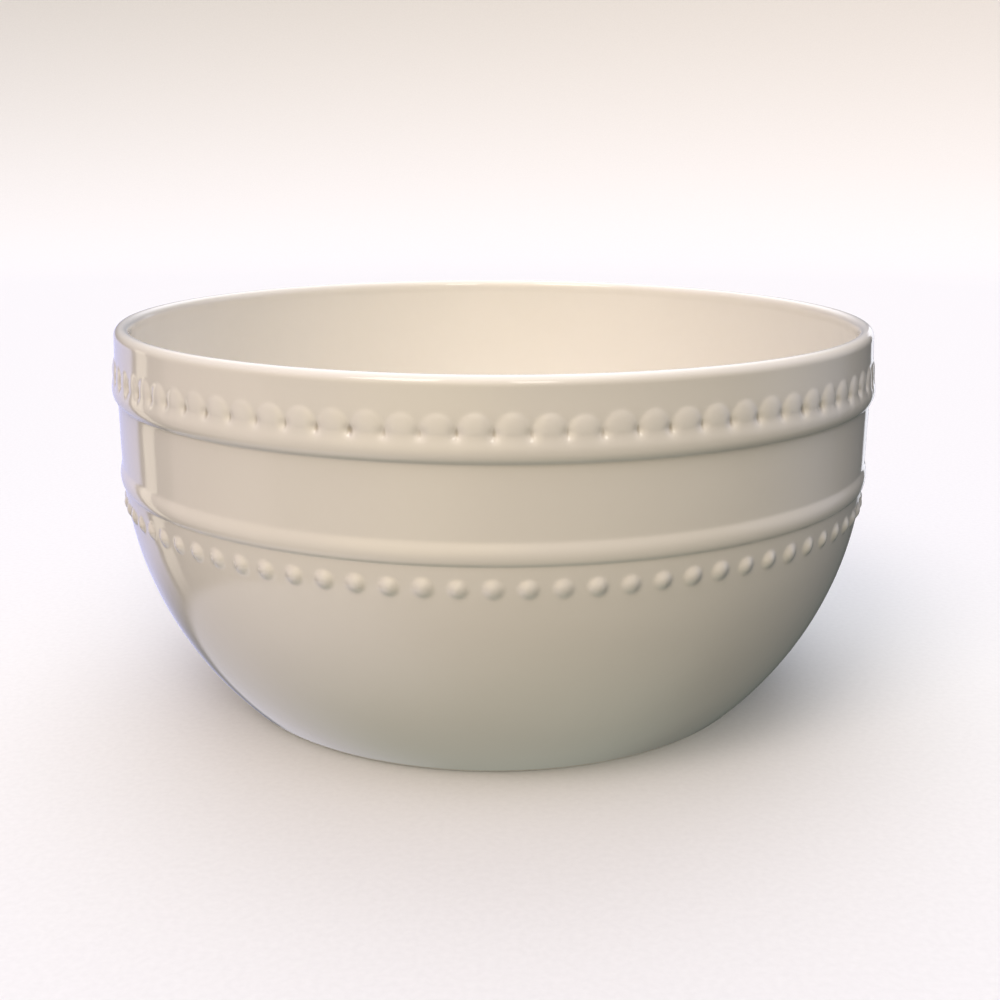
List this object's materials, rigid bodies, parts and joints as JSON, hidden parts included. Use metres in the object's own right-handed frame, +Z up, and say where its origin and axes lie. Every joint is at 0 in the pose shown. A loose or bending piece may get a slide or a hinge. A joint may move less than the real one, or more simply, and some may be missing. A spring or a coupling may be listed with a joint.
{
  "type": "serving bowl",
  "caption": "Deep round glazed porcelain serving bowl with straight upper bands, rolled mouldings, a row of scallops and a row of pearls; it stands on a flat unglazed foot ring.",
  "frame": {"origin": "centre of the flat resting face of the foot ring", "axes": "+Z up along the bowl's axis of revolution, towards the open mouth; a pearl is centred on +X"},
  "size_m": [0.2618, 0.2618, 0.13],
  "materials": {
    "glaze": "glossy warm ivory glaze",
    "glaze_relief": "glossy warm ivory glaze, thinner on raised edges",
    "bisque": "unglazed, ground flat"
  },
  "bodies": {
    "root": {"rim_wall": "glaze", "upper_scallops": "glaze_relief", "upper_roll": "glaze_relief", "lower_roll": "glaze_relief", "lower_pearls": "glaze_relief", "belly_wall": "glaze", "bowl_base": "glaze", "foot_ring": "bisque"}
  },
  "joints": []
}
